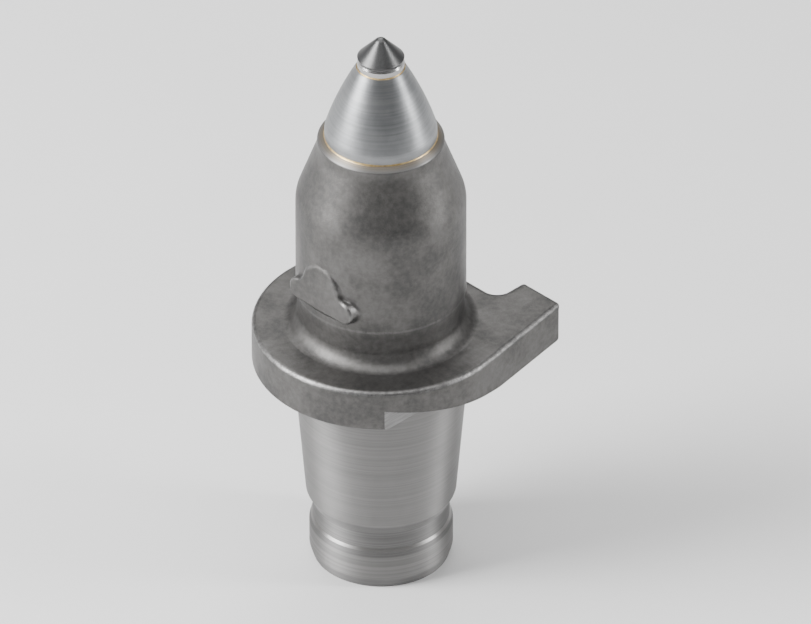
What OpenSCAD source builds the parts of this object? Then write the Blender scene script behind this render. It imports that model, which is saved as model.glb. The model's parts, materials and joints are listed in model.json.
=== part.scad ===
// Milling bit: a cutting tool with a diamond tip, a carbide bolster and a forged steel body.
// The tool's axis is Z with the tip upward. Z = 0 is the underside of the flange, which seats
// on the tool holder. The arm of the flange points along +X. All lengths are in millimetres.

/* [Diamond tip] */
// Radius of the tip's cylinder, the same for the cap and the carbide disc below it
tip_r = 5.9; // [4.5:0.1:6.1]
// Height of the carbide disc under the diamond cap
substrate_h = 2; // [1.5:0.1:5]
// Height of the chamfer at the carbide disc's upper edge
substrate_chamfer_h = 0.6; // [0.3:0.1:1]
// Height of the cap's edge below its cone
cap_skirt_h = 0.85; // [0.6:0.05:2]
// Height of the groove's floor at the foot of the cap's edge
cap_groove_h = 0.2; // [0.1:0.05:0.4]
// Half angle of the cap's cone
cap_half_angle = 42.8; // [36:0.2:48]
// Radius of the ball that rounds the cap's point
cap_apex_r = 1.9; // [0.8:0.1:3]
// Depth of the shallow groove between cap and carbide disc
tip_groove = 0.25; // [0.1:0.05:0.5]
// Rise of the domed joint between cap and carbide disc
tip_dome_h = 1; // [0.4:0.1:1.4]

/* [Carbide bolster] */
// Radius of the bolster's foot
bolster_r = 14.1; // [13:0.1:14.8]
// Radius of the bolster's top rim
bolster_top_r = 6.25; // [6.15:0.05:7]
// Height of the bolster above the body's socket rim
bolster_h = 20.5; // [17:0.5:26]
// Height of the straight band at the bolster's foot
bolster_band_h = 1.25; // [0.5:0.25:3]
// Radius of the curve between band and flank
bolster_shoulder_r = 6.5; // [4:0.5:12]
// Radius of the long convex flank
bolster_flank_r = 90; // [70:5:200]
// Depth of the bolster's foot below the socket rim
foot_depth = 1; // [0.6:0.1:2]
// Radius of the stem that is brazed into the body
stem_r = 8; // [6:0.25:9.5]
// Length of the stem below the foot
stem_length = 13; // [8:0.5:18]
// Chamfer at the stem's end
stem_chamfer = 1; // [0.5:0.1:2]

/* [Braze joints] */
// Thickness of the braze between two parts
braze_gap = 0.15; // [0.1:0.05:0.3]

/* [Body above the flange] */
// Radius of the body's cylinder
body_r = 21.35; // [20:0.25:23]
// Height of the cylinder's upper end, where its curve to the cone starts
body_top_z = 48; // [44:0.5:54]
// Radius of the curve between cylinder and cone
body_blend_r = 11.2; // [8:0.4:16]
// Half angle of the cone above the cylinder
cone_angle = 20.2; // [18:0.2:23]
// Radius of the cone's upper rim
rim_r = 15.9; // [15.5:0.1:17]
// Height of the band below the rim, with the sweep that leads into the cone
rim_band_h = 1.93; // [1.5:0.1:4]
// Rounding of the rim
rim_round = 0.7; // [0.3:0.1:1]
// Rise of the sloping collar from the rim to the bolster's foot
collar_rise = 0.96; // [0.6:0.05:1.5]
// Height where the cylinder starts to narrow towards the neck
body_bottom_z = 22; // [21:0.5:23]
// Radius of the neck between cylinder and flange
neck_r = 20.95; // [19.5:0.05:21.3]
// Height of the narrowing between cylinder and neck
neck_taper_h = 3.8; // [2:0.2:4.5]
// Radius of the fillet between neck and flange
neck_fillet_r = 4.1; // [3:0.1:5]

/* [Forged pad] */
// Height of the pad's flat face above the cylinder
pad_height = 0.4; // [0.3:0.05:2]
// Radius of the pad's crown
pad_crown_r = 5.4; // [4.5:0.1:6.5]
// Height of the crown's centre
pad_crown_z = 31.3; // [30.5:0.1:33]
// Radius of each wing's round end
pad_wing_r = 2.25; // [1.8:0.05:2.6]
// Distance of each wing's round end from the pad's middle
pad_wing_y = 7.7; // [7:0.1:9]
// Height of the wings' middle line
pad_wing_z = 27.5; // [26.5:0.1:28]
// Radius of the hollow between crown and wing
pad_hollow_r = 3.5; // [3:0.1:5]
// Rounding of the pad's outer edge
pad_round = 0.9; // [0.6:0.05:1.2]
// Fillet between the pad's sides and the cylinder
pad_fillet_r = 0.75; // [0.5:0.05:1.1]

/* [Flange and arm] */
// Radius of the round flange
flange_r = 32.4; // [30:0.2:36]
// Thickness of the flange and its arm
flange_t = 11.5; // [9:0.25:11.5]
// Rounding of the upper edge
flange_top_round = 1.4; // [0.6:0.1:2]
// Rounding of the upper edge along the flat side and the arm's inner side
inner_round = 2.4; // [1.4:0.1:3]
// Rounding of the lower edge
flange_bottom_round = 1; // [0.5:0.1:1.5]
// Distance of the flat side beside the arm from the axis
flat_x = 28; // [27:0.25:29]
// Reach of the arm from the axis
arm_reach = 36.85; // [36:0.25:44]
// Distance of the arm's inner side from the axis
arm_inner = 13.1; // [12:0.1:15]
// Angle between the arm's two long sides
arm_angle = 9.15; // [6:0.5:12]
// Fillet between the flat side and the arm's inner side
arm_fillet_r = 3.35; // [2:0.2:4.5]
// Rounding of the arm's upright corners
arm_corner_r = 1.8; // [0.8:0.1:2.5]

/* [Lever notch] */
// Distance of the notch's inner wall from the axis
notch_wall = 23.55; // [22.75:0.25:26]
// Distance along the arm's direction where the notch's roof meets the underside
notch_end = 14.6; // [10:0.2:18]
// Angle between the notch's roof and the underside
notch_angle = 9.13; // [6:0.25:11]

/* [Shank] */
// Radius of the tapered shank at the flange's underside
shank_r = 22.2; // [21:0.1:22.5]
// Half angle of the shank's taper
shank_angle = 4.72; // [3:0.25:5.5]
// Length of the taper
taper_length = 38.75; // [34:0.5:46]
// Fillet between the flange's underside and the shank
seat_fillet_r = 0.8; // [0.3:0.1:1.2]
// Rounding at the taper's lower end
taper_round = 2; // [1:0.25:3]
// Slope of the groove's upper side, measured from the axis
groove_slope = 28; // [20:1:40]
// Fillet at the top of the groove's floor
groove_fillet_r = 2; // [1:0.25:3]
// Width of the groove's floor
groove_width = 4.3; // [3:0.25:8]
// Radius of the groove's floor
groove_r = 17.25; // [16.5:0.25:17.5]
// Radius of the narrow step between groove and end cylinder
step_r = 17.72; // [17.6:0.04:17.85]
// Height of the step, with the chamfers above and below it
step_height = 2.15; // [1.8:0.05:3]
// Height of each chamfer of the step
step_chamfer = 0.75; // [0.4:0.05:0.8]
// Radius of the cylinder at the shank's end
collar_r = 18.1; // [17.9:0.1:18.5]
// Length of that cylinder
collar_length = 6.65; // [4:0.25:10]
// Rounding between that cylinder and the lead-in cone
collar_round = 2.2; // [1:0.2:4]
// Length of the lead-in cone at the shank's end
lead_in_length = 2.8; // [1.5:0.1:4]
// Half angle of the lead-in cone
lead_in_angle = 17; // [10:1:25]

/* [Hidden] */

$fn = 96;

// Faces along a profile's curves, and points along the outlines of pad and flange
curve_steps = 8;
fine_steps = 16;
rim_steps = 84;
round_steps = 5;
edge_steps = 4;

// Overlap of a shape with the face that it grows out of, so that the two cross cleanly
bite = 0.02;
// Depth by which the pad's root lies inside the cylinder
pad_bury = 1;
// Length by which a cutting shape runs past the material
over = 5;
// Smallest radius that an inset corner keeps
least_r = 0.05;
// Share of the band below the rim that the sweep into the cone takes up
sweep_share = 0.95;

// Heights of the body's profile, from the flange up
cone_start_z = body_top_z + body_blend_r * sin(cone_angle);
cone_start_r = body_r - body_blend_r * (1 - cos(cone_angle));
band_z = cone_start_z + (cone_start_r - rim_r) / tan(cone_angle);
rim_z = band_z + rim_band_h;
socket_z = rim_z + collar_rise;
collar_slope = atan(collar_rise / (rim_r - bolster_r - braze_gap));
rim_edge_z = rim_z - rim_round * tan(45 - collar_slope / 2);
sweep_r = (rim_edge_z - band_z) * sweep_share / tan(cone_angle / 2);

// Heights inside the flange where the turned profile steps from the shank's fillet to the neck's
flange_low_z = flange_t / 3;
flange_high_z = flange_t * 2 / 3;

// Heights of the bolster and the tip
foot_z = socket_z - foot_depth;
stem_end_z = foot_z - stem_length;
bolster_band_z = socket_z + bolster_band_h;
bolster_top_z = socket_z + bolster_h;
substrate_z = bolster_top_z + braze_gap;
tip_joint_z = substrate_z + substrate_h;
cap_base_z = tip_joint_z + cap_skirt_h;
apex_edge_r = cap_apex_r * cos(cap_half_angle);
apex_edge_z = cap_base_z + (tip_r - apex_edge_r) / tan(cap_half_angle);
apex_centre_z = apex_edge_z - cap_apex_r * sin(cap_half_angle);

// Distance of the pad's flat face from the axis
pad_face_x = body_r + pad_height;
// Reach of the pad's edge, from its flat face to the end of the fillet on the cylinder
pad_edge_w = pad_round + pad_fillet_r;
// Depth of the pad's root, inside the cylinder all round
pad_root_depth = pad_depth(pad_wing_y + pad_wing_r + pad_edge_w) + pad_bury;

// Heights of the shank's profile, from the flange down
taper_end_r = shank_r - taper_length * tan(shank_angle);
taper_edge = [taper_end_r - taper_round * (cos(shank_angle) - cos(groove_slope)),
    taper_round * (sin(shank_angle) - sin(groove_slope)) - taper_length];
groove_edge_r = groove_r + groove_fillet_r * (1 - cos(groove_slope));
groove_edge_z = taper_edge[1] - (taper_edge[0] - groove_edge_r) / tan(groove_slope);
groove_top_z = groove_edge_z - groove_fillet_r * sin(groove_slope);
groove_bottom_z = groove_top_z - groove_width;
collar_top_z = groove_bottom_z - step_height;
collar_bottom_z = collar_top_z - collar_length;
shank_end_z = collar_bottom_z - lead_in_length;
shank_end_r = collar_r - lead_in_length * tan(lead_in_angle);

// Points on an arc about c from angle a to angle b, in n steps
function arc(c, r, a, b, n) = [for (i = [0:n])
    let (t = a + (b - a) * i / n)
    c + r * [cos(t), sin(t)]];

// Where two circles cross, on the left of the way from p to q
function crossing(p, rp, q, rq) =
    let (
        d = norm(q - p),
        u = (q - p) / d,
        a = (rp * rp - rq * rq + d * d) / (2 * d),
        h = sqrt(rp * rp - a * a))
    p + a * u + h * [-u[1], u[0]];

// Direction of a vector in degrees
function heading(v) = atan2(v[1], v[0]);

// Closed solid through rings of equally many points, counter-clockwise as seen from the last ring
module loft(rings) {
    n = len(rings[0]);
    last = len(rings) - 1;
    sides = [for (k = [0:last - 1], i = [0:n - 1])
        let (j = (i + 1) % n)
        each [[k * n + i, (k + 1) * n + j, k * n + j], [k * n + i, (k + 1) * n + i, (k + 1) * n + j]]];
    floor_cap = [[for (i = [0:n - 1]) i]];
    roof_cap = [[for (i = [n - 1:-1:0]) last * n + i]];
    polyhedron(points = [for (ring = rings) each ring], faces = concat(floor_cap, sides, roof_cap));
}

// Domed joint between disc and diamond, from its edge to the axis
function dome(z) =
    let (r = tip_r - tip_groove, ball = (r * r + tip_dome_h * tip_dome_h) / (2 * tip_dome_h))
    arc([0, z + tip_dome_h - ball], ball, heading([r, ball - tip_dome_h]), 90, curve_steps);

// Diamond cap: cone with a round point, a chamfered skirt and a domed underside
module diamond_cap() {
    color("#3a3d42")
    rotate_extrude()
    polygon(concat(
        [[tip_r - tip_groove, tip_joint_z + cap_groove_h], [tip_r, cap_base_z]],
        arc([0, apex_centre_z], cap_apex_r, cap_half_angle, 90, curve_steps),
        [for (i = [curve_steps:-1:0]) dome(tip_joint_z)[i]]));
}

// Carbide disc that the diamond is sintered to, chamfered at its upper edge
module tip_substrate() {
    color("#a7abb0")
    rotate_extrude()
    polygon(concat(
        [[0, substrate_z], [tip_r, substrate_z], [tip_r, tip_joint_z - substrate_chamfer_h]],
        dome(tip_joint_z)));
}

// Braze under the tip
module tip_braze() {
    color("#c9a24f")
    translate([0, 0, bolster_top_z])
    cylinder(r = tip_r, h = braze_gap);
}

// The bolster's foot and stem, or the socket around them when gap is the braze thickness
function socket_profile(gap) = [
    [0, stem_end_z - gap],
    [stem_r + gap * tan(22.5) - stem_chamfer, stem_end_z - gap],
    [stem_r + gap, stem_end_z + stem_chamfer - gap * tan(22.5)],
    [stem_r + gap, foot_z - gap],
    [bolster_r + gap, foot_z - gap],
    [bolster_r + gap, socket_z],
    [0, socket_z]];

// Carbide bolster: long convex flank, rounded shoulder, straight band, foot and stem
module carbide_bolster() {
    rim = [bolster_top_r, bolster_top_z];
    shoulder = [bolster_r - bolster_shoulder_r, bolster_band_z];
    flank = crossing(shoulder, bolster_flank_r - bolster_shoulder_r, rim, bolster_flank_r);
    flank_angle = heading(shoulder - flank);
    color("#8f9499")
    rotate_extrude()
    polygon(concat(
        [for (p = socket_profile(0)) if (p[1] < socket_z) p],
        arc(shoulder, bolster_shoulder_r, 0, flank_angle, curve_steps),
        arc(flank, bolster_flank_r, flank_angle, heading(rim - flank), curve_steps),
        [[0, bolster_top_z]]));
}

// Braze that fills the socket around the bolster's foot and stem
module bolster_braze() {
    color("#c9a24f")
    rotate_extrude()
    difference() {
        polygon(socket_profile(braze_gap));
        polygon([for (p = socket_profile(0)) [p[0], p[1] < socket_z ? p[1] : socket_z + over]]);
    }
}

// Right half of the turned profile, from the shank's end up to the socket
function body_profile() = concat(
    [[0, shank_end_z], [shank_end_r, shank_end_z]],
    arc([collar_r - collar_round, collar_bottom_z + collar_round * tan(lead_in_angle / 2)],
        collar_round, -lead_in_angle, 0, edge_steps),
    [[collar_r, collar_top_z], [step_r, collar_top_z + step_chamfer]],
    [[step_r, groove_bottom_z - step_chamfer], [groove_r, groove_bottom_z]],
    arc([groove_r + groove_fillet_r, groove_top_z], groove_fillet_r, 180, 180 - groove_slope, edge_steps),
    arc([taper_end_r, -taper_length] - taper_round * [cos(shank_angle), -sin(shank_angle)],
        taper_round, -groove_slope, -shank_angle, edge_steps),
    shank_root(),
    flange_fillet(),
    [[neck_r, body_bottom_z - neck_taper_h], [body_r, body_bottom_z]],
    arc([body_r - body_blend_r, body_top_z], body_blend_r, 0, cone_angle, curve_steps),
    arc([rim_r + sweep_r, band_z + sweep_r * tan(cone_angle / 2)],
        sweep_r, 180 + cone_angle, 180, curve_steps),
    arc([rim_r - rim_round, rim_edge_z], rim_round, 0, 90 - collar_slope, edge_steps),
    [[bolster_r + braze_gap, socket_z], [0, socket_z]]);

// Fillet from the shank to the flange's underside, ending inside the flange
function shank_root() =
    let (c = [shank_r + seat_fillet_r * (1 - tan(shank_angle)), bite - seat_fillet_r])
    concat(arc(c, seat_fillet_r, 180, 90, curve_steps), [[c[0], flange_low_z]]);

// Fillet from inside the flange up to the neck
function flange_fillet() =
    let (c = [neck_r + neck_fillet_r, flange_t + neck_fillet_r - bite])
    concat([[c[0], flange_high_z]], arc(c, neck_fillet_r, 270, 180, fine_steps));

// Depth from the pad's face to just inside the cylinder, at distance y from the pad's middle
function pad_depth(y) = pad_face_x + bite - sqrt(body_r * body_r - y * y);

// Outline of the pad's flat face, as pairs of a point and the direction away from the pad
function pad_outline() =
    let (
        crown = [0, pad_crown_z],
        wing = [pad_wing_y, pad_wing_z],
        hollow = crossing(crown, pad_crown_r + pad_hollow_r, wing, pad_wing_r + pad_hollow_r),
        to_crown = heading(crown - hollow),
        to_wing = heading(wing - hollow),
        right = concat(
            edge_arc(wing, pad_wing_r, -90, to_wing + 180, 1),
            edge_arc(hollow, pad_hollow_r, to_wing, to_crown, -1),
            edge_arc(crown, pad_crown_r, to_crown + 180, 90, 1)))
    concat(right, [for (i = [len(right) - 2:-1:0]) [for (v = right[i]) [-v[0], v[1]]]]);

// Arc of that outline about c; side is 1 where the pad lies inside the arc and -1 where outside
function edge_arc(c, r, a, b, side) = [for (i = [0:curve_steps])
    let (t = a + (b - a) * i / curve_steps)
    [c + r * [cos(t), sin(t)], side * [cos(t), sin(t)]]];

// Section through the pad's edge at one place of its outline, as points of depth, y and z. A rounding
// leaves the flat face, and a fillet that has the same slope where they meet runs into the cylinder.
function pad_section(p, out) =
    let (
        slope = min(90, 2 * atan(pad_depth(p[0] + pad_round * out[0]) / pad_edge_w)),
        round_r = pad_round / sin(slope),
        fillet_r = pad_fillet_r / sin(slope),
        rounding = [for (i = [0:round_steps]) let (t = slope * i / round_steps)
            [round_r * sin(t), round_r * (1 - cos(t))]],
        fillet = [for (i = [0:round_steps])
            let (t = slope * (round_steps - i) / (round_steps + 0.5), w = pad_edge_w - fillet_r * sin(t))
            [w, pad_depth(p[0] + w * out[0]) - fillet_r * (1 - cos(t))]],
        root = [[pad_edge_w, pad_root_depth]])
    [for (s = concat(rounding, fillet, root)) [s[1], p[0] + s[0] * out[0], p[1] + s[0] * out[1]]];

// Forged pad on the side opposite the arm, with a flat face
module pad() {
    sections = [for (e = pad_outline()) pad_section(e[0], e[1])];
    loft([for (k = [0:len(sections[0]) - 1])
        [for (s = sections) [s[k][0] - pad_face_x, -s[k][1], s[k][2]]]]);
}

// Outline of flange and arm, counter-clockwise from above. The flat side and the arm's inner side
// are set back by the second amount, the rest by the first.
function plate_outline(inset, inner_inset) =
    let (
        r = max(arm_corner_r - max(inset, inner_inset), least_r),
        reach = arm_reach - inset,
        side = -arm_inner - inner_inset,
        flat = flat_x - inner_inset,
        rim = flange_r - inset,
        outer = [reach - r, ((reach - r) * sin(arm_angle) - (rim - r)) / cos(arm_angle)],
        inner = [reach - r, side - r],
        hollow_r = arm_fillet_r + inner_inset,
        hollow = [flat + hollow_r, side + hollow_r],
        flat_end = [flat - r, sqrt(pow(rim - r, 2) - pow(flat - r, 2))],
        flat_turn = heading(flat_end))
    concat(
        arc([0, 0], rim, flat_turn, 270 + arm_angle, rim_steps),
        arc(outer, r, arm_angle - 90, 0, edge_steps),
        arc(inner, r, 0, 90, edge_steps),
        arc(hollow, hollow_r, 270, 180, curve_steps),
        [for (i = [0:edge_steps - 1]) let (t = flat_turn * i / edge_steps)
            flat_end + r * [cos(t), sin(t)]]);

// How far an edge rounding of radius r is set back at the given distance below or above its face
function set_back(r, down) = down >= r ? 0 : r - sqrt(r * r - pow(r - down, 2));

// Flange and arm in one plate with rounded edges
module plate() {
    tall_round = max(flange_top_round, inner_round);
    low = [for (i = [0:round_steps])
        let (
            up = flange_bottom_round * (1 - cos(90 * i / round_steps)),
            back = set_back(flange_bottom_round, up))
        [up, back, back]];
    high = [for (i = [2 * round_steps:-1:0])
        let (down = tall_round * (1 - cos(45 * i / round_steps)))
        [flange_t - down, set_back(flange_top_round, down), set_back(inner_round, down)]];
    loft([for (s = concat(low, high)) [for (p = plate_outline(s[1], s[2])) [p[0], p[1], s[0]]]]);
}

// Wedge-shaped space under the flange for the lever that lifts the tool out
module lever_notch() {
    reach = notch_end + flange_r + over;
    translate([notch_end, -notch_wall, 0])
    rotate([90, 0, 0])
    linear_extrude(height = flange_r)
    polygon([[0, 0], [-reach, reach * tan(notch_angle)], [-reach, -over], [0, -over]]);
}

// Forged and turned steel body: shank, flange with arm, neck, pad, cylinder and cone
module tool_body() {
    color("#5c636b")
    difference() {
        union() {
            rotate_extrude()
            polygon(body_profile());
            difference() {
                plate();
                lever_notch();
            }
            pad();
        }
        rotate_extrude()
        polygon([for (p = socket_profile(braze_gap)) [p[0], p[1] < socket_z ? p[1] : socket_z + over]]);
    }
}

tool_body();
bolster_braze();
carbide_bolster();
tip_braze();
tip_substrate();
diamond_cap();
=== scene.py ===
# %% [markdown]
# # A milling bit in Blender
#
# A milling bit is the replaceable tooth of a milling drum. A forged steel body carries a cone of
# tungsten carbide, the bolster, and on its top sits a small disc of carbide with a cap of diamond.
# The solids come from the CAD model. Here they get the surfaces that the real tool has: a blasted
# forging skin, turned and ground steel, sintered carbide, lapped diamond and two lines of braze.
#
# The CAD model is loaded first. Everything below is placed in its frame: metres, Z along the tool's
# axis, and Z = 0 on the underside of the flange.

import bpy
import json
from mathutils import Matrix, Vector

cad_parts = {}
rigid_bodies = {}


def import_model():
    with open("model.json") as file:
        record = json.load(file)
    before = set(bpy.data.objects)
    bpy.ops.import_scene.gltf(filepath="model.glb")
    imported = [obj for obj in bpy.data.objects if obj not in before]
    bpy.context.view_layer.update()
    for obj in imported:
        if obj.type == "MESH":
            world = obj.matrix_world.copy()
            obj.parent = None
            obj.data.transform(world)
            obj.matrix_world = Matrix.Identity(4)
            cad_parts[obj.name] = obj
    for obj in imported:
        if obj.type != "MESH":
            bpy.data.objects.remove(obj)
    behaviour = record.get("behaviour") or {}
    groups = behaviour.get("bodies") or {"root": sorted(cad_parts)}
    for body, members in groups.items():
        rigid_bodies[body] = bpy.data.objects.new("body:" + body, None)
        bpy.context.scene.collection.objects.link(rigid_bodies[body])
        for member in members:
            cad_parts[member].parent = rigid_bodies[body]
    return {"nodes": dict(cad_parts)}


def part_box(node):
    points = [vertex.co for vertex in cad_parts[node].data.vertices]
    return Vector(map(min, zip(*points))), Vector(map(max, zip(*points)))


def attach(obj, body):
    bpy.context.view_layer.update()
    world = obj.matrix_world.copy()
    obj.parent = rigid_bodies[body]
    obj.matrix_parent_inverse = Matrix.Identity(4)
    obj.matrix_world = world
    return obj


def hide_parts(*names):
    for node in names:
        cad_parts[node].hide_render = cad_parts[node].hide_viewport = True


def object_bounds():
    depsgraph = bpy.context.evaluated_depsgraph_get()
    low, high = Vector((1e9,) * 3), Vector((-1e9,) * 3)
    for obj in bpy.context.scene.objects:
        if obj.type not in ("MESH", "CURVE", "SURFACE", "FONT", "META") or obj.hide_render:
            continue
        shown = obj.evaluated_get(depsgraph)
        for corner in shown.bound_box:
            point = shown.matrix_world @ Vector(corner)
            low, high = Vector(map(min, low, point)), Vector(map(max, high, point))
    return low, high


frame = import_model()
cad_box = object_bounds()
print("CAD box, mm:", [[round(v * 1000, 2) for v in corner] for corner in cad_box])

# %% Tools for this notebook
import json
import math

import bmesh
import bpy
from mathutils import Vector, noise

MM = 0.001
scene = bpy.context.scene
tip_z = cad_box[1].z / MM
floor_z = cad_box[0].z / MM
print("the bit stands on Z", round(floor_z, 2), "mm and its tip is at Z", round(tip_z, 2), "mm")

# %% [markdown]
# ## The camera
#
# The drawing is an isometric view: all three axes are equally foreshortened, and parallel edges stay
# parallel. The camera looks down the diagonal of a cube, which is 35.264 degrees above the horizon.
# A very long lens from far away comes within a pixel of parallel lines. Unlike an orthographic camera,
# it can also step back when it goes round the bit, and keep all of it in the frame. Four pixels of
# the drawing are one millimetre, so the frame's width is a length, and it gives the distance.

# %% Camera
IMAGE_W = 811
PIXELS_PER_MM = 4.0
AXIS_LEFT_OF_MIDDLE = 24.5  # pixels from the tool's axis to the middle of the drawing
MIDDLE_Z = 13.5  # height in mm on the axis that comes to the middle of the drawing
LENS = 1000
SENSOR_W = 36
toward_camera = Vector((-1, -1, 1)).normalized()
image_right = Vector((1, -1, 0)).normalized()

camera = bpy.data.objects.new("camera", bpy.data.cameras.new("camera"))
scene.collection.objects.link(camera)
scene.camera = camera
camera.data.lens = LENS
camera.data.sensor_width = SENSOR_W
frame_w = IMAGE_W / PIXELS_PER_MM * MM
aim = image_right * (AXIS_LEFT_OF_MIDDLE / PIXELS_PER_MM * MM) + Vector((0, 0, MIDDLE_Z * MM))
camera.location = aim + toward_camera * (frame_w * LENS / SENSOR_W)
camera.rotation_mode = "QUATERNION"
camera.rotation_quaternion = toward_camera.to_track_quat("Z", "Y")
camera.data.clip_start = 0.1
camera.data.clip_end = 20
distance = (camera.location - aim).length
print("the frame is", round(frame_w / MM, 2), "mm wide, from", round(distance, 2), "m")

# %% [markdown]
# ## Sizes
#
# The fine parts of the bit are built from the same sizes as the CAD model, in millimetres and degrees.
# They were read off the drawing: the ellipses of an isometric view give radii, and their centres give
# heights. The names say where each size sits, from the body above the flange down to the shank's end.

# %% Sizes of the body above the flange
body_r = 21.35
body_bottom_z = 22
body_top_z = 48
body_blend_r = 11.2
cone_angle = 20.2
rim_r = 15.9
rim_band_h = 1.93
rim_round = 0.7
collar_rise = 0.96
sweep_share = 0.95  # share of the band below the rim that the sweep into the cone takes up
socket_r = 14.25
socket_depth = 1.15
neck_r = 20.95
neck_taper_h = 3.8
neck_fillet_r = 4.1
print("the body is", body_r * 2, "mm across and its rim", rim_r * 2, "mm")

# %% Sizes of flange, arm and notch
flange_r = 32.4
flange_t = 11.5
flange_top_round = 1.4
flange_bottom_round = 1.0
inner_round = 2.4  # upper edge along the flat side and the arm's inner side
flat_x = 28
arm_reach = 36.85
arm_inner = 13.1
arm_angle = 9.15
arm_fillet_r = 3.35
arm_corner_r = 1.8
notch_wall = 23.55
notch_end = 14.6
notch_angle = 9.13
print("the flange is", flange_r * 2, "mm across and the arm reaches", arm_reach, "mm from the axis")

# %% Sizes of the shank
shank_r = 22.2
shank_angle = 4.72
taper_length = 38.75
seat_fillet_r = 0.8
taper_round = 2
groove_slope = 28
groove_fillet_r = 2
groove_width = 4.3
groove_r = 17.25
step_r = 17.72
step_height = 2.15
step_chamfer = 0.75
collar_r = 18.1
collar_length = 6.65
collar_round = 2.2
lead_in_length = 2.8
lead_in_angle = 17
print("the shank is", shank_r * 2, "mm across at the flange and", collar_r * 2, "mm at its end")

# %% Sizes of the pad, and allowances
pad_height = 0.4
pad_crown_r = 5.4
pad_crown_z = 31.3
pad_hollow_r = 3.5
pad_wing_r = 2.25
pad_wing_y = 7.7
pad_wing_z = 27.5
pad_round = 0.9
pad_fillet_r = 0.75
BITE = 0.02  # overlap of shapes that grow out of each other, so that they cross cleanly
PAD_BURY = 1  # depth by which the pad's root lies inside the cylinder
OVER = 5  # length by which a cutting shape runs past the material
LEAST_R = 0.05  # smallest radius that an inset corner keeps
print("the pad is", 2 * (pad_wing_y + pad_wing_r), "mm wide")

# %% [markdown]
# Python's own sine takes radians, so three small functions take degrees. A curve is a list of points,
# with as many steps as each curve needs to look round from close by.

# %% Trigonometry in degrees, arcs and circles
def sin(angle):
    return math.sin(math.radians(angle))


def cos(angle):
    return math.cos(math.radians(angle))


def tan(angle):
    return math.tan(math.radians(angle))


def heading(vector):
    return math.degrees(math.atan2(vector[1], vector[0]))


def arc(centre, radius, start, stop, steps):
    """Points on a circle from one angle to another."""
    angles = [start + (stop - start) * i / steps for i in range(steps + 1)]
    return [(centre[0] + radius * cos(a), centre[1] + radius * sin(a)) for a in angles]


def straight(start, stop, steps):
    """Points between two ends, without the ends themselves."""
    shares = [i / steps for i in range(1, steps)]
    return [(start[0] + (stop[0] - start[0]) * s, start[1] + (stop[1] - start[1]) * s) for s in shares]


def crossing(p, p_radius, q, q_radius):
    """Where two circles cross, on the left of the way from p to q."""
    p, q = Vector(p), Vector(q)
    apart = (q - p).length
    way = (q - p) / apart
    along = (p_radius**2 - q_radius**2 + apart**2) / (2 * apart)
    aside = math.sqrt(p_radius**2 - along**2)
    return p + along * way + aside * Vector((-way.y, way.x))


print("an arc of 4 steps:", len(arc((0, 0), 1, 0, 90, 4)), "points")


# %% [markdown]
# Where two stretches meet is worked out, so that each rounding runs into the next stretch without a
# kink. The shank is followed down from the flange: taper, rounded end, sloping side, groove, step and
# collar. The body is followed up: cylinder, curve, cone, sweep and rim.

# %% Heights that follow from the sizes
taper_end_r = shank_r - taper_length * tan(shank_angle)
taper_edge_r = taper_end_r - taper_round * (cos(shank_angle) - cos(groove_slope))
taper_edge_z = taper_round * (sin(shank_angle) - sin(groove_slope)) - taper_length
groove_edge_r = groove_r + groove_fillet_r * (1 - cos(groove_slope))
groove_edge_z = taper_edge_z - (taper_edge_r - groove_edge_r) / tan(groove_slope)
groove_top_z = groove_edge_z - groove_fillet_r * sin(groove_slope)
groove_bottom_z = groove_top_z - groove_width
collar_top_z = groove_bottom_z - step_height
collar_bottom_z = collar_top_z - collar_length
shank_end_z = collar_bottom_z - lead_in_length

cone_start_z = body_top_z + body_blend_r * sin(cone_angle)
cone_start_r = body_r - body_blend_r * (1 - cos(cone_angle))
band_z = cone_start_z + (cone_start_r - rim_r) / tan(cone_angle)
rim_z = band_z + rim_band_h
socket_z = rim_z + collar_rise
collar_slope = math.degrees(math.atan(collar_rise / (rim_r - socket_r)))
rim_edge_z = rim_z - rim_round * tan(45 - collar_slope / 2)
sweep_r = (rim_edge_z - band_z) * sweep_share / tan(cone_angle / 2)
print("shank end at Z", round(shank_end_z, 2), "and socket rim at Z", round(socket_z, 2))


# %% [markdown]
# ## Writing shaders as arithmetic
#
# A procedural material is a sum: a base value, plus some noise, times a mask. Drawn as nodes, such a
# sum is hard to read. The class below wraps one socket of a node tree. Python's own operators on it
# add the Math nodes, so that `0.3 + 0.1 * grain` is written as it reads. Every other node is made by
# the one method `node`, which takes the node's type, its settings and the values of its inputs.
# Groups of ready-made nodes would do the same, but they hide the sum that makes the surface.

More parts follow.
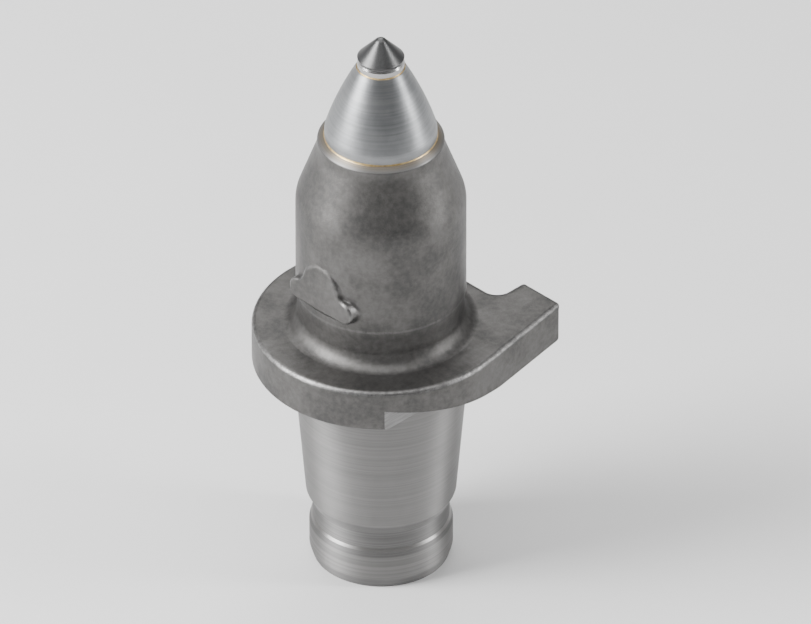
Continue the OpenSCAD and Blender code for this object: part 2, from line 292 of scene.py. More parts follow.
# %% A socket that does arithmetic
class Wire:
    """One output socket of a material's nodes. Operators on it add Math nodes."""

    def __init__(self, socket):
        self.socket = socket

    def node(self, kind, settings=None, inputs=None, output=0):
        """Add a shader node to the same tree, set it up, feed its inputs and return one output."""
        made = self.socket.id_data.nodes.new("ShaderNode" + kind)
        for name, value in (settings or {}).items():
            if name == "stops":
                fill_ramp(made.color_ramp, value)
            else:
                setattr(made, name, value)
        for name, value in (inputs or {}).items():
            socket = made.inputs[name] if isinstance(name, int) else open_input(made, name)
            if isinstance(value, Wire):
                self.socket.id_data.links.new(value.socket, socket)
            else:
                socket.default_value = value
        return Wire(made.outputs[output])

    def math(self, operation, *values):
        """A Math node with this value first."""
        return self.node("Math", {"operation": operation}, dict(enumerate((self,) + values)))

    def __add__(self, other):
        return self.math("ADD", other)

    def __radd__(self, other):
        return self.math("ADD", other)

    def __sub__(self, other):
        return self.math("SUBTRACT", other)

    def __rsub__(self, other):
        return self * -1 + other

    def __mul__(self, other):
        return self.math("MULTIPLY", other)

    def __rmul__(self, other):
        return self.math("MULTIPLY", other)

    def __truediv__(self, other):
        return self.math("DIVIDE", other)

    def __pow__(self, other):
        return self.math("POWER", other)

    def ramp(self, low, high):
        """0 below low and 1 above high, with a soft step between them. low may be the larger one."""
        settings = {"interpolation_type": "SMOOTHSTEP"}
        return self.node("MapRange", settings, {"Value": self, "From Min": low, "From Max": high})

    def colours(self, *stops):
        """A colour that follows this value through stops, as pairs of a position and a colour."""
        return self.node("ValToRGB", {"stops": stops}, {"Fac": self})


def open_input(made, name):
    """The input of that name which the node's settings leave switched on."""
    return next(s for s in made.inputs if s.name == name and s.enabled)


def fill_ramp(ramp, stops):
    """Give a colour ramp its stops, as pairs of a position and a colour."""
    while len(ramp.elements) < len(stops):
        ramp.elements.new(1.0)
    for element, (position, colour) in zip(ramp.elements, stops):
        element.position = position
        element.color = colour


print("Wire has", len([name for name in vars(Wire) if callable(getattr(Wire, name))]), "methods")


# %% [markdown]
# Colours need a node of their own, because a Math node keeps only one number. `blend` mixes two
# colours by a mask, and `grey` writes a neutral colour. Steel is a little warm and carbide a little
# cold.

# %% Colours
def blend(first, second, mask):
    """A colour that is the first where the mask is 0 and the second where it is 1."""
    inputs = {"Factor": mask, "A": first, "B": second}
    return mask.node("Mix", {"data_type": "RGBA"}, inputs, output=2)


def grey(value, warmth=0.0):
    """A neutral colour, or a slightly warm or cold one."""
    return (value * (1 + warmth), value, value * (1 - warmth), 1.0)


print("a warm grey:", grey(0.2, 0.1))


# %% [markdown]
# The class `Place` gives the coordinates that the finishes are written in: millimetres along the
# axes, the distance from the tool's axis, and the direction that the surface faces. `turned` is a
# vector that changes quickly along a turned profile and slowly around it, which is how a lathe tool
# marks a surface. `bump` turns heights into a normal, and `finish` makes a material of all of it.

# %% Coordinates and materials
class Place:
    """Where a point of the surface is, in millimetres."""

    def __init__(self, tree):
        coordinates = tree.nodes.new("ShaderNodeTexCoord")
        metres = Wire(coordinates.outputs["Object"])
        self.point = metres.node("VectorMath", {"operation": "SCALE"}, {0: metres, "Scale": 1 / MM})
        split = self.point.node("SeparateXYZ", inputs={0: self.point}).socket.node
        self.x, self.y, self.z = (Wire(output) for output in split.outputs)
        self.radius = (self.x * self.x + self.y * self.y) ** 0.5
        normal = Wire(coordinates.outputs["Normal"])
        facing = normal.node("SeparateXYZ", inputs={0: normal}).socket.node
        self.facing_x = Wire(facing.outputs["X"])
        self.facing_z = Wire(facing.outputs["Z"])

    def noise(self, scale, detail=3.0, roughness=0.55, vector=None):
        """Noise from 0 to 1 with about that many features to the millimetre."""
        inputs = {"Scale": scale, "Detail": detail, "Roughness": roughness}
        inputs["Vector"] = vector or self.point
        return self.point.node("TexNoise", inputs=inputs)

    def turned(self, density, drift=0.35):
        """A vector for lathe marks: quick along the profile, slow around the axis."""
        around = self.x / self.radius * drift
        along = self.radius * density + around
        up = self.z * density + self.y / self.radius * drift
        return self.z.node("CombineXYZ", inputs={0: along, 1: up, 2: around})


def bump(height, depth_mm, strength=1.0, under=None):
    """A normal from a height between 0 and 1 that stands for that many millimetres."""
    inputs = {"Height": height, "Distance": depth_mm * MM, "Strength": strength}
    if under:
        inputs["Normal"] = under
    return height.node("Bump", inputs=inputs)


def finish(name, make):
    """A material whose principled shader takes its sockets from make(place)."""
    material = bpy.data.materials.new(name)
    material.use_nodes = True
    shader = material.node_tree.nodes["Principled BSDF"]
    for socket, value in make(Place(material.node_tree)).items():
        if isinstance(value, Wire):
            material.node_tree.links.new(value.socket, shader.inputs[socket])
        else:
            shader.inputs[socket].default_value = value
    print("finish", name, "uses", len(material.node_tree.nodes), "nodes")
    return material


# %% [markdown]
# ## Forged steel
#
# The flange, its arm, the neck, the pad, the cylinder and the cone are forged, hardened and then
# blasted with steel shot. The skin is dark and even from afar. Up close it has the soft dimples of
# the shot and a faint cloudiness from the scale that came off. Its edges are lightened: a painted
# highlight, with a little handling wear. The finish adds up these layers.
#
# The bright edges need no mask of their own, as the surface says where they are: on the flange's
# rounding it faces halfway up, on the pad's edge it turns away from -X, and the cylinder's lower edge
# has a known height. The bright line at that lower edge is a painted highlight only.

# %% Where the forging's edges get a painted highlight and some wear
FLAT = 0.985  # a surface that faces a direction more than this is flat to it
EDGE_H = 0.5  # half the height of the bright line at the cylinder's lower edge


# Painted highlight on the forging's edges, partly meant as handling wear.
def edge_highlight_and_wear(at):
    on_flange = at.z.ramp(flange_t + 0.7, flange_t - 0.3)
    flange_edge_lit_and_worn = at.facing_z.ramp(0.15, 0.5) * at.facing_z.ramp(FLAT, 0.8) * on_flange
    # The bright line at the cylinder's lower edge is a painted highlight.
    near_foot = (at.z - body_bottom_z) / EDGE_H
    outside_neck = at.radius.ramp(neck_r - 0.05, neck_r + 0.25)
    body_foot = (near_foot * near_foot).ramp(1.0, 0.0) * outside_neck
    proud = at.radius.ramp(body_r + 0.1, body_r + 0.45)
    on_pad = proud * at.z.ramp(body_bottom_z, body_bottom_z + 1)
    pad_edge_lit_and_worn = on_pad * at.facing_x.ramp(-FLAT, -0.75)
    return flange_edge_lit_and_worn + 0.3 * body_foot + 0.6 * pad_edge_lit_and_worn


print("bright edges up to Z", flange_t + 0.7, "and at Z", body_bottom_z)


# %% Forging skin
def forged(at):
    clouds = at.noise(0.09, detail=4.0)
    mottle = at.noise(0.7, detail=5.0, roughness=0.65)
    shot = at.noise(2.6, detail=2.0, roughness=0.5)
    tone = clouds.ramp(0.35, 0.68) * 0.55 + mottle.ramp(0.3, 0.75) * 0.45
    skin = tone.colours((0.0, grey(0.078, 0.01)), (0.45, grey(0.112, 0.03)), (1.0, grey(0.15, 0.02)))
    # The edges' painted highlight, with a little wear, lightens the skin toward a bright grey.
    edges_lit_and_worn = edge_highlight_and_wear(at) * (0.35 + 0.65 * mottle.ramp(0.35, 0.6))
    colour = blend(skin, grey(0.36, 0.01), edges_lit_and_worn * 0.5)
    roughness = 0.47 + 0.13 * mottle - 0.1 * edges_lit_and_worn - 0.05 * tone
    dimples = bump(shot, 0.035)
    return {
        "Base Color": colour,
        "Metallic": 1.0,
        "Roughness": roughness,
        "Normal": bump(clouds * 0.5 + mottle * 0.5, 0.12, under=dimples),
    }


forged_skin = finish("forged_skin", forged)


# %% [markdown]
# ## Machined steel
#
# The shank, its groove, the flange's underside and the collar around the bolster are turned, because
# they have to fit. The tool moves on by the same feed with each turn, so it leaves a groove of even
# pitch: a sine of height plus radius, which works on walls and on flat faces alike. Noise on the
# turned vector adds the uneven rings.
#
# Light stretches across such marks, so a turned cylinder shows upright streaks. That is the shader's
# anisotropy. Blender stretches it along the circles around Z, and a quarter of a turn sets it across
# them.
#
# The taper is cut finer. The groove and the lead-in cone below it are darker, partly as a rougher
# cut and partly as painted shade: in the groove's hollow, and on the cone down by the floor. The small
# chamfers between them, which face up, get a painted highlight. Each of these stretches is known by
# its height, so ramps along Z are the masks, and the chamfers are also known by how they face. The
# heat of brazing leaves a faint straw tint on the collar around the bolster.

# %% Turned steel
FEED = 0.45  # mm between two feed marks
ACROSS_THE_MARKS = 0.25  # a quarter of a turn, for the direction of the anisotropy
STRAW = (0.36, 0.28, 0.17, 1)


def turned(at):
    rings = at.noise(1.0, detail=3.0, roughness=0.6, vector=at.turned(2.2, drift=0.15))
    fine = at.noise(1.0, detail=2.0, roughness=0.7, vector=at.turned(7.0))
    patches = at.noise(0.12, detail=3.0)
    feed_marks = ((at.z + at.radius) * (math.tau / FEED)).math("SINE") * 0.5 + 0.5
    on_taper = at.z.ramp(taper_edge_z - 0.2, taper_edge_z + 0.2) * at.z.ramp(-0.2, -0.6)
    marks = rings.ramp(0.3, 0.7) * (0.55 - 0.25 * on_taper)
    # Painted shade, partly a rougher cut: the lead-in cone and the groove are darkened. The chamfers
    # that face up get a painted highlight.
    lead_in_shade = at.z.ramp(collar_bottom_z + 0.4, collar_bottom_z - 0.2)
    over_collar = at.z.ramp(collar_top_z - 0.1, collar_top_z + 0.1)
    groove_shade = over_collar * at.z.ramp(taper_edge_z, taper_edge_z - 0.3)
    lit_chamfers = at.facing_z.ramp(0.25, 0.4) * groove_shade
    cut_and_painted_light = 0.35 * lead_in_shade + 0.4 * groove_shade - 0.9 * lit_chamfers
    bare = blend(grey(0.19, 0.01), grey(0.32, 0.02), marks + 0.4 * patches - cut_and_painted_light)
    straw = at.z.ramp(rim_z, socket_z) * (0.3 + 0.3 * patches)
    return {
        "Base Color": blend(bare, STRAW, straw),
        "Metallic": 1.0,
        "Roughness": 0.46 + 0.12 * fine + 0.06 * patches - 0.06 * on_taper - 0.15 * lit_chamfers,
        "Anisotropic": 0.82,
        "Anisotropic Rotation": ACROSS_THE_MARKS,
        "Normal": bump(feed_marks * (0.6 + 0.4 * patches) + fine, 0.008, under=bump(rings, 0.02)),
    }


turned_steel = finish("turned_steel", turned)


# %% [markdown]
# The lever notch is cut by a mill that runs along X. Its marks are straight, so the noise for them is
# stretched along that axis.

# %% Milled steel
ALONG_THE_CUT = 0.15
ACROSS_THE_CUT = 2.5


def milled(at):
    axes = {0: at.x * ALONG_THE_CUT, 1: at.y * ACROSS_THE_CUT, 2: at.z * ACROSS_THE_CUT}
    stretched = at.x.node("CombineXYZ", inputs=axes)
    marks = at.noise(1.0, detail=3.0, roughness=0.6, vector=stretched)
    return {
        "Base Color": blend(grey(0.15, 0.01), grey(0.24, 0.01), marks.ramp(0.3, 0.7)),
        "Metallic": 1.0,
        "Roughness": 0.3 + 0.15 * marks,
        "Normal": bump(marks, 0.02),
    }


milled_steel = finish("milled_steel", milled)


# %% [markdown]
# ## Carbide, diamond and braze
#
# The bolster is pressed and sintered, so it has a fine even grain and a dull, slightly cold metallic
# grey. Its long flank keeps faint rings from grinding. The disc under the tip is ground bright.

# %% Carbide
def bolster_carbide(at):
    grain = at.noise(5.5, detail=3.0, roughness=0.7)
    haze = at.noise(0.16, detail=4.0)
    rings = at.noise(1.0, detail=3.0, roughness=0.6, vector=at.turned(1.6))
    tone = haze.ramp(0.3, 0.7) * 0.5 + rings.ramp(0.3, 0.7) * 0.5
    colour = blend(grey(0.23, -0.03), grey(0.33, -0.02), tone)
    return {
        "Base Color": colour,
        "Metallic": 1.0,
        "Roughness": 0.34 + 0.1 * grain + 0.05 * rings,
        "Anisotropic": 0.45,
        "Anisotropic Rotation": ACROSS_THE_MARKS,
        "Normal": bump(grain, 0.012, under=bump(rings, 0.02)),
    }


def tip_carbide(at):
    rings = at.noise(1.0, detail=3.0, roughness=0.6, vector=at.turned(4.0))
    return {
        "Base Color": blend(grey(0.34), grey(0.46, 0.01), rings),
        "Metallic": 1.0,
        "Roughness": 0.2 + 0.12 * rings,
        "Anisotropic": 0.4,
        "Anisotropic Rotation": ACROSS_THE_MARKS,
        "Normal": bump(rings, 0.008),
    }


finishes = {
    "carbide_bolster": finish("bolster_carbide", bolster_carbide),
    "tip_substrate": finish("tip_carbide", tip_carbide),
}


# %% [markdown]
# The cap is a mass of tiny diamonds that are sintered together, and it is no metal: its reflection
# comes from its refractive index, over a nearly black body. A clear diamond has 2.4. The cap's lapped
# surface scatters part of the light, so 1.8 comes closer to how it looks.
#
# The braze is a bronze alloy that was liquid, so it is smooth and a little lumpy.

# %% Diamond and braze
CAP_INDEX = 1.8
DARK_BRONZE = (0.46, 0.31, 0.13, 1)
BRIGHT_BRONZE = (0.72, 0.55, 0.27, 1)


def diamond(at):
    grain = at.noise(3.0, detail=4.0, roughness=0.7)
    lapping = at.noise(1.0, detail=2.0, vector=at.turned(5.0))
    return {
        "Base Color": blend(grey(0.012, -0.02), grey(0.035, -0.02), grain.ramp(0.35, 0.7)),
        "Metallic": 0.0,
        "IOR": CAP_INDEX,
        "Roughness": 0.26 + 0.12 * lapping + 0.06 * grain,
        "Normal": bump(lapping * 0.6 + grain * 0.4, 0.01),
    }


def braze(at):
    lumps = at.noise(0.9, detail=3.0)
    return {
        "Base Color": lumps.colours((0.3, DARK_BRONZE), (0.7, BRIGHT_BRONZE)),
        "Metallic": 1.0,
        "Roughness": 0.28 + 0.2 * lumps,
        "Normal": bump(lumps, 0.05),
    }


finishes["diamond_cap"] = finish("diamond", diamond)
finishes["bolster_braze"] = finish("braze", braze)
finishes["tip_braze"] = finishes["bolster_braze"]
for node, material in finishes.items():
    frame["nodes"][node].data.materials.clear()
    frame["nodes"][node].data.materials.append(material)

# %% [markdown]
# ## The body as one fine mesh
#
# The CAD body has the right sizes, but its rounded edges come as flat facets, and every facet would
# show in the polished light. Some of its flat faces also fold over where their outline is hollow. So
# the body is built again from the same sizes, with more points.
#
# The round stretches are a profile turned about the axis. Flange with arm, and pad, are lofts: rings
# of points, one above the other, that follow the outline and step back where an edge is rounded. Then
# the solids are joined with Boolean modifiers.

# %% [markdown]
# The profile runs from the shank's end up to the rim, and down into the socket. Each rounding is an
# arc that leaves one straight stretch and meets the next one without a kink. Long straight stretches
# are divided, so that the mesh has quads of a similar size everywhere.
#
# First the shank, from its end up into the flange.

# %% The shank's profile
def shank_profile():
    end = (collar_r - lead_in_length * tan(lead_in_angle), shank_end_z)
    round_c = (collar_r - collar_round, collar_bottom_z + collar_round * tan(lead_in_angle / 2))
    groove_c = (groove_r + groove_fillet_r, groove_top_z)
    taper_x = taper_end_r - taper_round * cos(shank_angle)
    taper_c = (taper_x, taper_round * sin(shank_angle) - taper_length)
    seat_c = (shank_r + seat_fillet_r * (1 - tan(shank_angle)), BITE - seat_fillet_r)
    taper_foot = arc(taper_c, taper_round, -groove_slope, -shank_angle, steps=10)
    seat = arc(seat_c, seat_fillet_r, 180, 90, steps=12)
    return (
        [(0, shank_end_z)] + straight((0, shank_end_z), end, steps=6) + [end]
        + arc(round_c, collar_round, -lead_in_angle, 0, steps=8)
        + straight((collar_r, round_c[1]), (collar_r, collar_top_z), steps=4)
        + [(collar_r, collar_top_z), (step_r, collar_top_z + step_chamfer)]
        + [(step_r, groove_bottom_z - step_chamfer), (groove_r, groove_bottom_z)]
        + arc(groove_c, groove_fillet_r, 180, 180 - groove_slope, steps=8)
        + taper_foot + straight(taper_foot[-1], seat[0], steps=16)
        + seat + [(seat_c[0], flange_t / 3)]
    )


print("the shank's profile has", len(shank_profile()), "points")


# %% [markdown]
# Then the part above the flange: neck, cylinder, cone, rim and socket. Both profiles end inside the
# flange, one third and two thirds of the way up, where the plate will cover their ends.

# %% The upper profile
def upper_profile():
    neck_c = (neck_r + neck_fillet_r, flange_t + neck_fillet_r - BITE)
    neck_top = (neck_r, body_bottom_z - neck_taper_h)
    body_foot = (body_r, body_bottom_z)
    blend_c = (body_r - body_blend_r, body_top_z)
    blend_arc = arc(blend_c, body_blend_r, 0, cone_angle, steps=12)
    sweep_c = (rim_r + sweep_r, band_z + sweep_r * tan(cone_angle / 2))
    sweep = arc(sweep_c, sweep_r, 180 + cone_angle, 180, steps=12)
    socket_floor_z = socket_z - socket_depth
    return (
        [(neck_c[0], flange_t * 2 / 3)]
        + arc(neck_c, neck_fillet_r, 270, 180, steps=24)
        + straight((neck_r, neck_c[1]), neck_top, steps=3) + [neck_top]
        + straight(neck_top, body_foot, steps=2) + [body_foot]
        + straight(body_foot, (body_r, body_top_z), steps=12)
        + blend_arc + straight(blend_arc[-1], sweep[0], steps=8) + sweep
        + arc((rim_r - rim_round, rim_edge_z), rim_round, 0, 90 - collar_slope, steps=8)
        + [(socket_r, socket_z), (socket_r, socket_floor_z), (0, socket_floor_z)]
    )


profile = shank_profile() + upper_profile()
print("the whole profile has", len(profile), "points")


# %% [markdown]
# `turn` spins a profile about Z, and `loft` closes a stack of rings into a solid. Both go through
# bmesh, which builds a mesh in memory and writes it to an object at the end. The spin leaves double
# points at its seam and on the axis, and `piece` merges them.

# %% Turning and lofting
SIDES = 192
SAME_PLACE = 1e-3  # points closer than this, in mm, are one point


def piece(name, bm):
    """An object in the scene from a bmesh in millimetres."""
    bmesh.ops.remove_doubles(bm, verts=bm.verts, dist=SAME_PLACE)
    bmesh.ops.recalc_face_normals(bm, faces=bm.faces)
    bmesh.ops.scale(bm, vec=(MM, MM, MM), verts=bm.verts)
    mesh = bpy.data.meshes.new(name)
    bm.to_mesh(mesh)
    bm.free()
    made = bpy.data.objects.new(name, mesh)
    scene.collection.objects.link(made)
    return made


def turn(name, points, sides):
    """A solid of revolution about Z from a profile of (radius, height)."""
    bm = bmesh.new()
    verts = [bm.verts.new((r, 0, z)) for r, z in points]
    edges = [bm.edges.new(pair) for pair in zip(verts, verts[1:])]
    turn_about = {"axis": (0, 0, 1), "cent": (0, 0, 0)}
    bmesh.ops.spin(bm, geom=verts + edges, angle=math.tau, steps=sides, **turn_about)
    return piece(name, bm)


def loft(name, rings):
    """A closed solid through rings of equally many points."""
    bm = bmesh.new()
    rows = [[bm.verts.new(point) for point in ring] for ring in rings]
    for low, high in zip(rows, rows[1:]):
        for i in range(len(low)):
            bm.faces.new((low[i - 1], low[i], high[i], high[i - 1]))
    bm.faces.new(rows[0])
    bm.faces.new(rows[-1])
    return piece(name, bm)


turned_body = turn("tool_body_fine", profile, SIDES)
print("turned body:", len(turned_body.data.polygons), "faces")


# %% [markdown]
# ## Flange, arm and notch
#
# The flange rests on the holder and takes the bit's thrust. Its arm and its flat side most likely
# keep the bit from turning. The outline is a circle that runs straight out along the arm, turns two
# corners, comes back along the arm's inner side and ends in the flat side. A smaller outline keeps the
# same shape: convex corners lose radius, and the hollow one gains it.

# %% Outline of flange and arm
RIM_STEPS = 84  # as in the CAD model, so that both reach equally far


def plate_outline(inset, inner_inset):
    """The outline, moved in by one amount, and by another along the flat and the inner side."""
    r = max(arm_corner_r - max(inset, inner_inset), LEAST_R)
    reach = arm_reach - inset
    rim = flange_r - inset
    side = -arm_inner - inner_inset
    flat = flat_x - inner_inset
    outer = (reach - r, ((reach - r) * sin(arm_angle) - (rim - r)) / cos(arm_angle))
    hollow_r = arm_fillet_r + inner_inset
    flat_end = (flat - r, math.sqrt((rim - r) ** 2 - (flat - r) ** 2))
    round_side = arc((0, 0), rim, heading(flat_end), 270 + arm_angle, RIM_STEPS)
    corner = arc(outer, r, arm_angle - 90, 0, steps=8)
    inner_corner = arc((reach - r, side - r), r, 0, 90, steps=8)
    hollow = arc((flat + hollow_r, side + hollow_r), hollow_r, 270, 180, steps=14)
    flat_corner = arc(flat_end, r, 0, heading(flat_end), steps=6)[:-1]
    return (
        round_side + straight(round_side[-1], corner[0], steps=16)
        + corner + straight(corner[-1], inner_corner[0], steps=6)
        + inner_corner + straight(inner_corner[-1], hollow[0], steps=3)
        + hollow + straight(hollow[-1], flat_corner[0], steps=12) + flat_corner
    )


print("the outline has", len(plate_outline(0, 0)), "points")


# %% [markdown]
# The upper edge is rounded by 1.4 mm, and along the flat side and the arm's inner side by 2.4 mm. A
# bevel modifier could round one edge, but not change its radius along the way. So the rounding is made
# of rings: `setback` says how far the outline has moved in at a given distance from the face.

# %% Flange with arm
LOWER_STEPS = 8
UPPER_STEPS = 20


def setback(radius, down):
    return 0 if down >= radius else radius - math.sqrt(radius**2 - (radius - down) ** 2)


def plate_rings():
    """Height and the two insets of each ring, from the underside up."""
    for i in range(LOWER_STEPS + 1):
        up = flange_bottom_round * (1 - cos(90 * i / LOWER_STEPS))
        back = setback(flange_bottom_round, up)
        yield up, back, back
    yield flange_t / 2, 0, 0
    for i in range(UPPER_STEPS, -1, -1):
        down = inner_round * (1 - cos(90 * i / UPPER_STEPS))
        yield flange_t - down, setback(flange_top_round, down), setback(inner_round, down)


plate = loft("plate", [[(x, y, z) for x, y in plate_outline(a, b)] for z, a, b in plate_rings()])
print("flange with arm:", len(plate.data.polygons), "faces")


# %% [markdown]
# A worn bit has to be lifted out of its holder, and the notch under the flange is most likely where
# the lever goes in. It is a wedge with an upright inner wall and a sloping roof. The wedge runs past
# the material on all open sides, so that the cut is clean.

# %% The lever notch
def wedge():
    reach = notch_end + flange_r + OVER
    far_x = notch_end - reach
    side = [(notch_end, 0), (far_x, reach * tan(notch_angle)), (far_x, -OVER), (notch_end, -OVER)]
    walls = (-notch_wall, -notch_wall - flange_r)
    return loft("wedge", [[(x, y, z) for x, z in side] for y in walls])


notch = wedge()
print("the notch opens by", round((notch_end + flange_r) * tan(notch_angle), 1), "mm at its far end")


# %% [markdown]
# ## The forged pad
#
# The pad is flat and shaped like a bell: a round crown between two round wings, with a hollow on each
# side. The outline is written once for the right half and mirrored. Each of its points carries the
# direction that leads away from the pad, because the edge is rounded along that direction.

# %% Outline of the pad
OUTLINE_STEPS = 20
FOOT_POINTS = range(-6, 7, 2)  # where the straight foot has points, in mm from the middle


def edge_arc(centre, radius, start, stop, side):
    """Points of the pad's outline with the direction that leads away from the pad."""
    ways = arc((0, 0), 1, start, stop, OUTLINE_STEPS)
    return [((centre[0] + radius * a, centre[1] + radius * b), (side * a, side * b)) for a, b in ways]


def pad_outline():
    crown = Vector((0, pad_crown_z))
    wing = Vector((pad_wing_y, pad_wing_z))
    hollow = crossing(crown, pad_crown_r + pad_hollow_r, wing, pad_wing_r + pad_hollow_r)
    to_crown = heading(crown - hollow)
    to_wing = heading(wing - hollow)
    right = edge_arc(wing, pad_wing_r, -90, to_wing + 180, 1)[:-1]
    right += edge_arc(hollow, pad_hollow_r, to_wing, to_crown, -1)[:-1]
    right += edge_arc(crown, pad_crown_r, to_crown + 180, 90, 1)
    foot = [((y, pad_wing_z - pad_wing_r), (0, -1)) for y in FOOT_POINTS]
    return foot + right + [((-p[0], p[1]), (-out[0], out[1])) for p, out in right[-2::-1]]


print("the pad's outline has", len(pad_outline()), "points")


# %% [markdown]
# The pad stands 0.4 mm proud of the cylinder at its middle and about 3 mm at its wings, because the
# cylinder falls away. Its edge is a rounding that runs into a fillet. Where the pad is low, both are
# shallow. Where it is high, both are quarter circles with an upright wall between them. One section
# function gives both cases: the slope at which rounding and fillet meet follows from the height there.

# %% Pad
EDGE_STEPS = 10


def pad_depth(y):
    """Depth from the pad's face to just inside the cylinder, beside the pad's middle by y."""
    return body_r + pad_height + BITE - math.sqrt(body_r**2 - y**2)


def pad_section(p, out):
    """The pad's edge at one place, as points of x, y and z."""
    edge_w = pad_round + pad_fillet_r
    slope = min(90, 2 * math.degrees(math.atan(pad_depth(p[0] + pad_round * out[0]) / edge_w)))
    round_r = pad_round / sin(slope)
    fillet_r = pad_fillet_r / sin(slope)
    section = [(x, round_r - z) for z, x in arc((0, 0), round_r, 0, slope, EDGE_STEPS)]
    for i in range(EDGE_STEPS + 1):
        t = slope * (EDGE_STEPS - i) / (EDGE_STEPS + 0.5)
        w = edge_w - fillet_r * sin(t)
        section.append((w, pad_depth(p[0] + w * out[0]) - fillet_r * (1 - cos(t))))
    section.append((edge_w, pad_depth(pad_wing_y + pad_wing_r + edge_w) + PAD_BURY))
    return [(d - body_r - pad_height, -p[0] - w * out[0], p[1] + w * out[1]) for w, d in section]


pad_sections = [pad_section(p, out) for p, out in pad_outline()]
pad = loft("pad", list(zip(*pad_sections)))
print("pad:", len(pad.data.polygons), "faces")


# %% [markdown]
# A forging is one piece of steel, so the solids become one too. The exact Boolean solver finds the
# true line where two of them meet. It leaves a few points on top of each other, which are merged.

# %% Joining the solids
def combine(target, other, operation):
    """Apply a Boolean of two objects to the first and delete the second."""
    modifier = target.modifiers.new(operation, "BOOLEAN")
    modifier.operation = operation
    modifier.solver = "EXACT"
    modifier.object = other
    graph = bpy.context.evaluated_depsgraph_get()
    mesh = bpy.data.meshes.new_from_object(target.evaluated_get(graph))
    target.modifiers.clear()
    target.data = mesh
    bpy.data.objects.remove(other)


def merge_close(target, distance):
    """Merge the points that a Boolean left on top of each other, and drop faces without area."""
    bm = bmesh.new()
    bm.from_mesh(target.data)
    bmesh.ops.remove_doubles(bm, verts=bm.verts, dist=distance * MM)
    bmesh.ops.dissolve_degenerate(bm, edges=bm.edges, dist=distance * MM)
    open_edges = sum(len(edge.link_faces) != 2 for edge in bm.edges)
    bm.to_mesh(target.data)
    bm.free()
    return open_edges


combine(plate, notch, "DIFFERENCE")
combine(turned_body, plate, "UNION")
combine(turned_body, pad, "UNION")
open_edges = merge_close(turned_body, SAME_PLACE)
print("body:", len(turned_body.data.polygons), "faces,", open_edges, "open edges")


# %% [markdown] The machined places are known by where a face lies and where it looks: everything
# below the flange, the flange's flat underside and the collar at the socket are turned, and the
# notch's wall and roof are milled. Each face gets the slot of its finish. Smooth shading follows,
# with hard edges wherever two faces meet at more than 30 degrees. Weighted normals keep flat faces
# flat beside a rounding. The body rides on the root and takes the place of the CAD body, which is
# then hidden.

# %% Finishes and shading of the body
FORGED, TURNED, MILLED = range(3)
NEAR = 0.01  # mm within which a face lies on a plane
UNDERSIDE_H = 0.05  # mm up to which a face that looks down belongs to the underside
STRAIGHT = 0.99  # how much a face looks along an axis, at least, to look straight along it
ROOF_FACING = 0.98  # the same for the notch's roof, which slopes by 9 degrees
HARD_EDGE = 30  # degrees


def slot_of(face):
    _, y, z = face.center / MM
    on_underside = z < UNDERSIDE_H and face.normal.z < -STRAIGHT
    if z < -NEAR or z > rim_edge_z + rim_round / 3 or on_underside:
        return TURNED
    on_wall = abs(y + notch_wall) < NEAR and face.normal.y < -STRAIGHT
    on_roof = y < -notch_wall and face.normal.z < -ROOF_FACING
    return MILLED if on_wall or on_roof else FORGED


turned_body.data.materials.clear()
for material in (forged_skin, turned_steel, milled_steel):
    turned_body.data.materials.append(material)
for face in turned_body.data.polygons:
    face.material_index = slot_of(face)
turned_body.data.shade_smooth()
turned_body.data.set_sharp_from_angle(angle=math.radians(HARD_EDGE))
turned_body.modifiers.new("weighted", "WEIGHTED_NORMAL").keep_sharp = True
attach(turned_body, "root")
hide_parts("tool_body")
slots = [face.material_index for face in turned_body.data.polygons]
print("faces forged, turned and milled:", [slots.count(i) for i in (FORGED, TURNED, MILLED)])


# %% [markdown]
# ## Braze fillets
#
# Liquid braze climbs a little up both walls of its gap and freezes as a hollow fillet. Its edge
# wanders by a tenth of a millimetre. Two thin rings stand for it: one at the bolster's foot and
# one under the tip.

# %% Braze fillets
RING_SIDES = 160
RING_STEPS = 6
WANDER = 0.45  # share by which the fillet's size can wander
WAVES = 4.0  # scale of the noise that it wanders by
ROOT = 0.05  # mm that the ring reaches down into its joint


def braze_ring(name, wall_r, foot_z, width, height, foot_slope=0):
    """A hollow fillet around a wall, with an edge that wanders."""
    bm = bmesh.new()
    rows = []
    for i in range(RING_SIDES):
        angle = math.tau * i / RING_SIDES
        way = Vector((math.cos(angle), math.sin(angle), 0))
        size = 1 + WANDER * noise.noise(way * WAVES + Vector((0, 0, foot_z)))
        row = []
        for j in range(RING_STEPS + 1):
            t = 90 * j / RING_STEPS
            out = width * size * (1 - sin(t))
            up = height * size * (1 - cos(t))
            level = Vector((0, 0, foot_z + up - out * foot_slope))
            row.append(bm.verts.new(way * (wall_r + out) + level))
        row.append(bm.verts.new(way * wall_r + Vector((0, 0, foot_z - ROOT))))
        rows.append(row)
    for i in range(RING_SIDES):
        for j in range(len(row)):
            k = (j + 1) % len(row)
            bm.faces.new((rows[i - 1][j], rows[i][j], rows[i][k], rows[i - 1][k]))
    ring = piece(name, bm)
    ring.data.materials.append(finishes["bolster_braze"])
    ring.data.shade_smooth()
    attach(ring, "root")


bolster_foot_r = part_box("carbide_bolster")[1].x / MM
bolster_top_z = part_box("tip_braze")[0].z / MM
tip_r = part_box("tip_substrate")[1].x / MM
down_the_collar = collar_rise / (rim_r - socket_r)
braze_ring("bolster_braze_fillet", bolster_foot_r, socket_z, 0.5, 0.35, foot_slope=down_the_collar)
braze_ring("tip_braze_fillet", tip_r, bolster_top_z, 0.25, 0.3)
print("braze at Z", round(socket_z, 2), "and", round(bolster_top_z, 2))

# %% [markdown]
# ## Floor and light
#
# The bit stands on a plain pale floor, like a sheet of studio paper. The paper is matte, so that it
# takes the bit's soft shadow and mirrors no lamp.

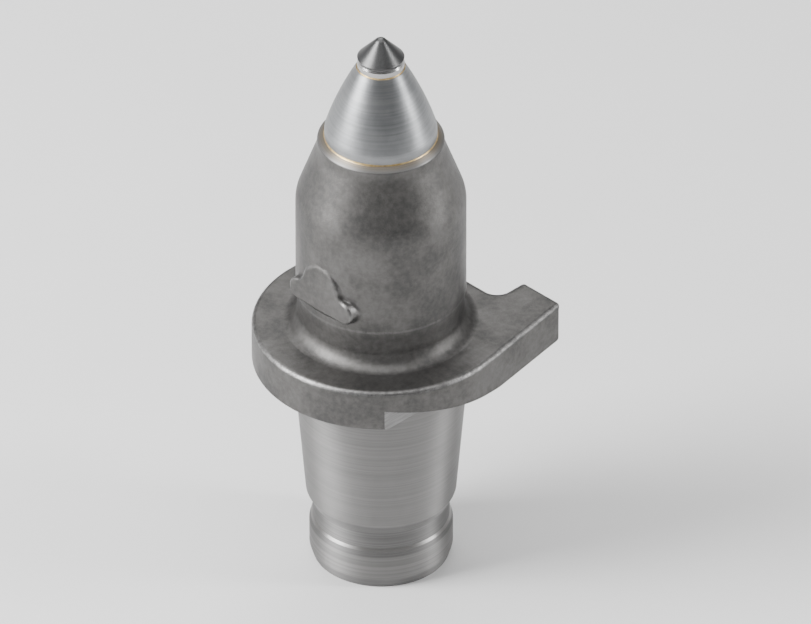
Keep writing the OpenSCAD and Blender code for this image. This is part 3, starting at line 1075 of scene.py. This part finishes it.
# %% Floor
FLOOR_HALF = 1.8  # half the floor's side, in metres
FLOOR_GAP = 0.02  # mm between the shank's end and the floor, so that no two faces coincide

floor_mesh = bmesh.new()
bmesh.ops.create_grid(floor_mesh, x_segments=1, y_segments=1, size=FLOOR_HALF)
floor_data = bpy.data.meshes.new("floor")
floor_mesh.to_mesh(floor_data)
floor_mesh.free()
floor = bpy.data.objects.new("floor", floor_data)
floor.location.z = cad_box[0].z - FLOOR_GAP * MM
scene.collection.objects.link(floor)


def paper(at):
    fibre = at.noise(0.02, detail=3.0)
    return {
        "Base Color": blend(grey(0.78), grey(0.82), fibre),
        "Roughness": 0.9,
        "Specular IOR Level": 0.0,
    }


floor_data.materials.append(finish("floor_paper", paper))


# %% [markdown]
# Metal shows what is around it, so the light is the second half of every metal finish. Four soft
# panels stand around the bit, and each has one task. The large one overhead lights all that faces up.
# The key at the left gives the broad highlight, and the narrow one at the right draws the other edge.
# The one behind lights the top of the flange.

# %% Lights
def panel(name, azimuth, elevation, distance, width, height, power):
    """A soft light that looks at the bit. Azimuth 0 is in front of -Y, and 90 beside +X."""
    data = bpy.data.lights.new(name, "AREA")
    data.shape = "RECTANGLE"
    data.size = width
    data.size_y = height
    data.energy = power
    light = bpy.data.objects.new(name, data)
    way = Vector((sin(azimuth) * cos(elevation), -cos(azimuth) * cos(elevation), sin(elevation)))
    light.location = way * distance
    light.rotation_mode = "QUATERNION"
    light.rotation_quaternion = way.to_track_quat("Z", "Y")
    scene.collection.objects.link(light)


panel("overhead", azimuth=0, elevation=86, distance=1.7, width=1.6, height=1.6, power=14)
panel("key", azimuth=-122, elevation=34, distance=0.9, width=0.4, height=0.8, power=20)
panel("edge", azimuth=38, elevation=22, distance=0.9, width=0.12, height=0.8, power=6)
panel("back", azimuth=140, elevation=50, distance=1.1, width=0.8, height=0.5, power=6)

# %% [markdown]
# The world fills the shadows. It is dark low down, so that the steel's upright edges have something
# dark to mirror, and it gets paler toward the top. At the horizon and below it, it is about as pale as
# the floor near the bit, because a level view shows it as the backdrop.

# %% World
HORIZON = grey(4.5)
LOW_SKY = grey(0.12)
HIGH_SKY = grey(0.95)
SKY_STRENGTH = 0.2

world = bpy.data.worlds.new("studio")
scene.world = world
world.use_nodes = True
sky = world.node_tree.nodes["Background"]
direction = Wire(world.node_tree.nodes.new("ShaderNodeTexCoord").outputs["Generated"])
height = Wire(direction.node("SeparateXYZ", inputs={0: direction}).socket.node.outputs["Z"])
dome = blend(LOW_SKY, HIGH_SKY, height.ramp(0.05, 0.9))
dome = blend(HORIZON, dome, height.ramp(0.035, 0.09))
world.node_tree.links.new(dome.socket, sky.inputs["Color"])
sky.inputs["Strength"].default_value = SKY_STRENGTH
print("the world uses", len(world.node_tree.nodes), "nodes")
